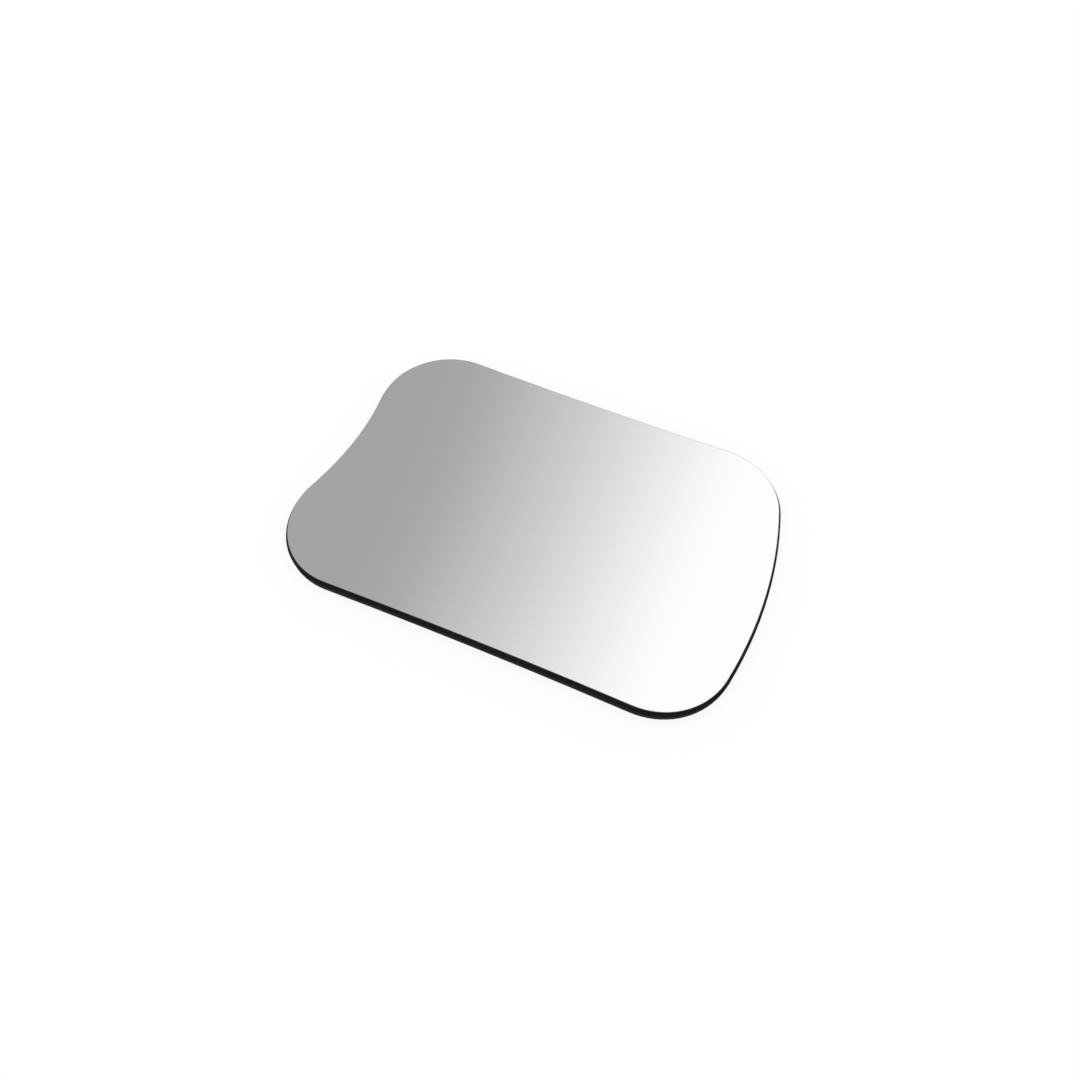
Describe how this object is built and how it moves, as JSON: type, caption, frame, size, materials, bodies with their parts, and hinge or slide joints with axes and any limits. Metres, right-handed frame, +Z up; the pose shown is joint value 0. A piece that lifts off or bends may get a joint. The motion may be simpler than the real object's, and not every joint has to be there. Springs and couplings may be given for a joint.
{
  "type": "occlusal photography mirror",
  "caption": "Flat glass mouth mirror with a hollow between two lobes at one end, a broad crown at the other and a seamed dark edge.",
  "frame": {"origin": "underside of the glass, below the middle of the plate's box, on the surface that it lies on", "axes": "+X along the long axis from the hollow heel to the crowned toe, +Y across the plate, +Z up out of the upper mirror face"},
  "size_m": [0.112, 0.078, 0.0038],
  "materials": {
    "mirror_glass": "front-surface metallised glass, polished faces, ground edge blackened"
  },
  "bodies": {
    "root": {"mirror_plate": "mirror_glass"}
  },
  "joints": []
}
